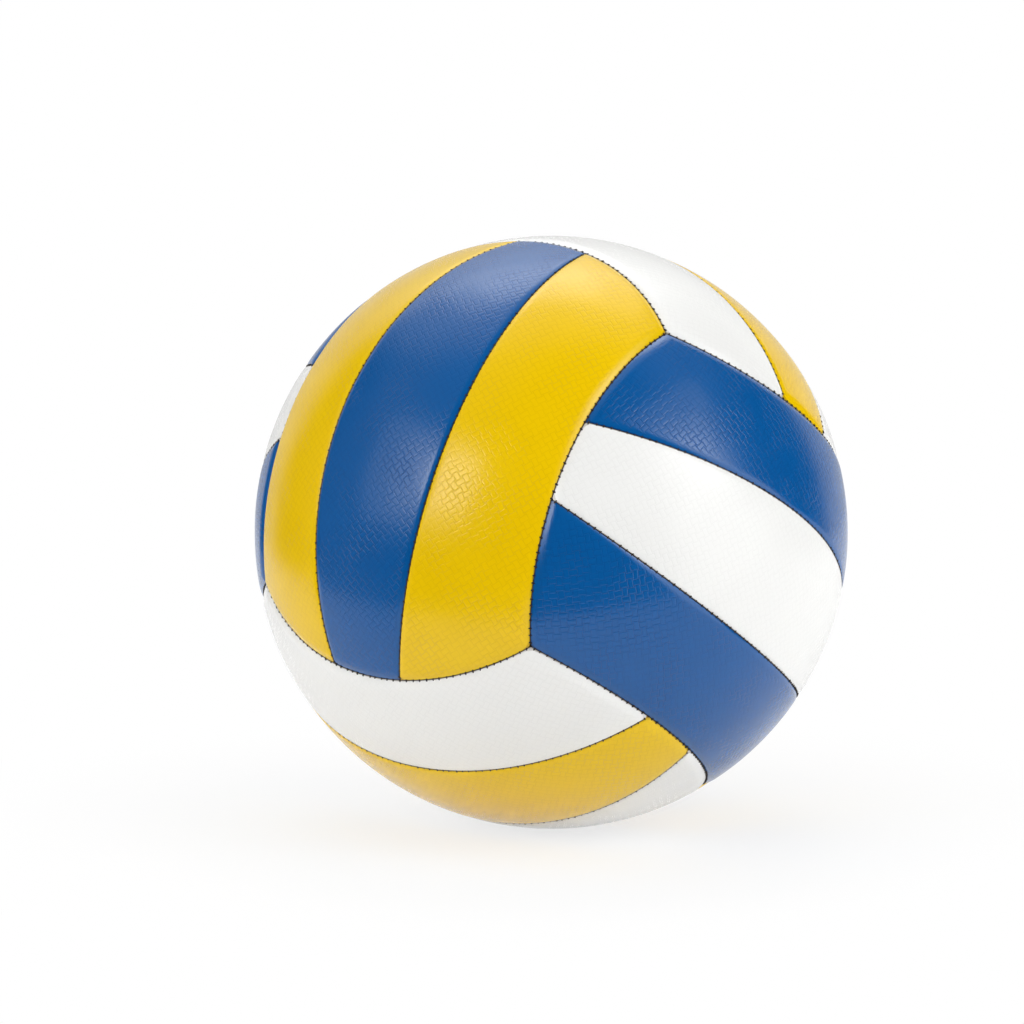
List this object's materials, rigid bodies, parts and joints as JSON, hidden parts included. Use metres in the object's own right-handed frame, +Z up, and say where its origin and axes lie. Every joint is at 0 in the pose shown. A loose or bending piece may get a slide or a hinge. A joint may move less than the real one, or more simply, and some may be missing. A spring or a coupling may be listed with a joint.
{
  "type": "volleyball",
  "caption": "Sewn volleyball: padded synthetic-leather strips in yellow, blue and white round an air bladder, with a needle valve for inflating it.",
  "frame": {"origin": "centre of the ball", "axes": "+Z up as the ball lies in the picture, +X to the viewer's right, -Y towards the viewer; the point it rests on faces -Z"},
  "size_m": [0.21, 0.21, 0.21],
  "materials": {
    "panel_yellow": "semi-gloss synthetic leather with a fine embossed weave",
    "panel_blue": "semi-gloss synthetic leather with a fine embossed weave",
    "panel_white": "satin synthetic leather with a fine pebble grain",
    "foam_backing": "matt foam with a woven lining",
    "sewing_thread": "dark waxed polyester thread",
    "bladder_rubber": "matt black butyl rubber",
    "valve_rubber": "matt black moulded rubber",
    "core_rubber": "dark grey moulded rubber"
  },
  "bodies": {
    "ball": {"back_left_backing": "foam_backing", "back_left_panel": "panel_yellow", "back_middle_backing": "foam_backing", "back_middle_panel": "panel_blue", "back_right_backing": "foam_backing", "back_right_panel": "panel_yellow", "back_strip_threads": "sewing_thread", "back_to_left_thread": "sewing_thread", "back_to_right_thread": "sewing_thread", "bladder": "bladder_rubber", "bottom_front_backing": "foam_backing", "bottom_front_panel": "panel_white", "bottom_middle_backing": "foam_backing", "bottom_middle_panel": "panel_yellow", "bottom_rear_backing": "foam_backing", "bottom_rear_panel": "panel_white", "bottom_strip_threads": "sewing_thread", "bottom_to_back_thread": "sewing_thread", "bottom_to_front_thread": "sewing_thread", "front_left_backing": "foam_backing", "front_left_panel": "panel_yellow", "front_middle_backing": "foam_backing", "front_middle_panel": "panel_blue", "front_right_backing": "foam_backing", "front_right_panel": "panel_yellow", "front_strip_threads": "sewing_thread", "front_to_left_thread": "sewing_thread", "front_to_right_thread": "sewing_thread", "left_lower_backing": "foam_backing", "left_lower_panel": "panel_blue", "left_middle_backing": "foam_backing", "left_middle_panel": "panel_white", "left_strip_threads": "sewing_thread", "left_to_bottom_thread": "sewing_thread", "left_to_top_thread": "sewing_thread", "left_upper_backing": "foam_backing", "left_upper_panel": "panel_blue", "right_lower_backing": "foam_backing", "right_lower_panel": "panel_blue", "right_middle_backing": "foam_backing", "right_middle_panel": "panel_white", "right_strip_threads": "sewing_thread", "right_to_bottom_thread": "sewing_thread", "right_to_top_thread": "sewing_thread", "right_upper_backing": "foam_backing", "right_upper_panel": "panel_blue", "top_front_backing": "foam_backing", "top_front_panel": "panel_white", "top_middle_backing": "foam_backing", "top_middle_panel": "panel_yellow", "top_rear_backing": "foam_backing", "top_rear_panel": "panel_white", "top_strip_threads": "sewing_thread", "top_to_back_thread": "sewing_thread", "top_to_front_thread": "sewing_thread", "valve_housing": "valve_rubber"},
    "core": {"valve_core": "core_rubber"}
  },
  "joints": [
    {"name": "valve_core_slide", "type": "slide", "parent": "ball", "child": "core", "axis": [0.5025, 0.6908, -0.52], "range_m": [0, 0.0185]}
  ]
}
